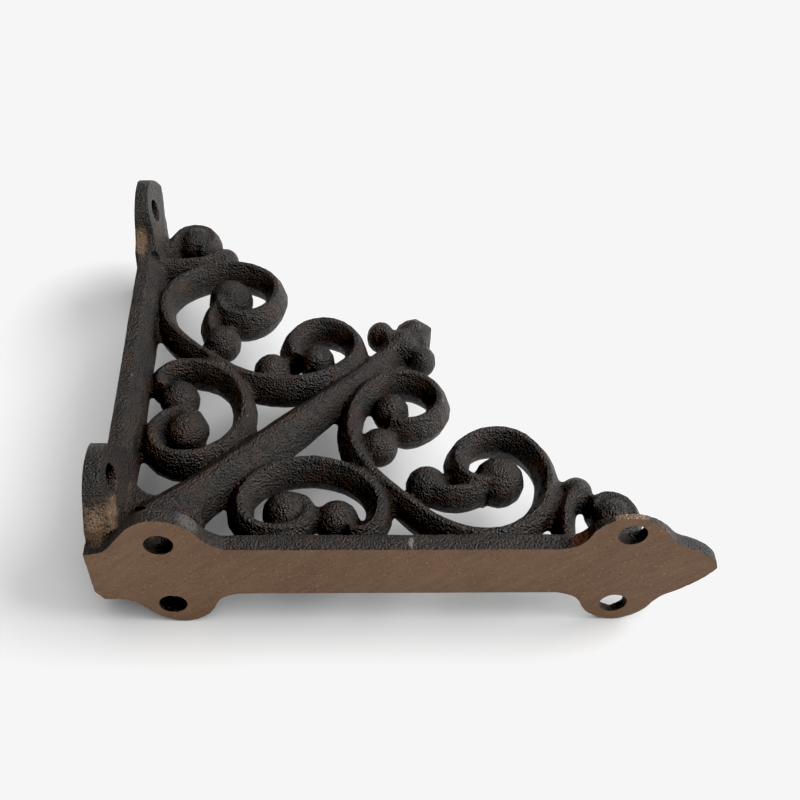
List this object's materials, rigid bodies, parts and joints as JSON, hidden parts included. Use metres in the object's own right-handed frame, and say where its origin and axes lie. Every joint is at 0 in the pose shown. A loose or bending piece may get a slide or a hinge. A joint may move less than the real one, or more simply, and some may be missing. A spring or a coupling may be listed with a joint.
{
  "type": "shelf bracket",
  "caption": "Cast iron scroll bracket for a wall shelf: lobed wall and shelf straps at a right angle, with screw holes, a diagonal bar and openwork scrolls between them.",
  "frame": {"origin": "bottom centre of the bounding box, the bracket lying on its side on the lower lobes of its straps", "axes": "+X along the shelf strap from the corner to its tip, +Y along the wall strap from the corner to its tip, +Z the normal of the openwork; the shelf strap's mounting face looks to -Y and the wall strap's to -X"},
  "size_m": [0.1797, 0.178, 0.0492],
  "materials": {
    "painted_iron": "sand-cast iron under thin dark bronze-black paint, granular, satin",
    "ground_iron": "the straps: dark painted casting whose mounting face is ground bare and has browned"
  },
  "bodies": {
    "root": {"diagonal_bar": "painted_iron", "finial_knob": "painted_iron", "finial_shelf_lobe": "painted_iron", "finial_wall_lobe": "painted_iron", "shelf_strap": "ground_iron", "shelf_gusset": "painted_iron", "shelf_corner_scroll": "painted_iron", "shelf_corner_bud": "painted_iron", "shelf_main_scroll": "painted_iron", "shelf_main_bud": "painted_iron", "shelf_inner_scroll": "painted_iron", "shelf_inner_bud": "painted_iron", "shelf_tip_leaf": "painted_iron", "shelf_tip_curl": "painted_iron", "wall_strap": "ground_iron", "wall_gusset": "painted_iron", "wall_corner_scroll": "painted_iron", "wall_corner_bud": "painted_iron", "wall_main_scroll": "painted_iron", "wall_main_bud": "painted_iron", "wall_inner_scroll": "painted_iron", "wall_inner_bud": "painted_iron", "wall_tip_leaf": "painted_iron", "wall_tip_curl": "painted_iron"}
  },
  "joints": []
}
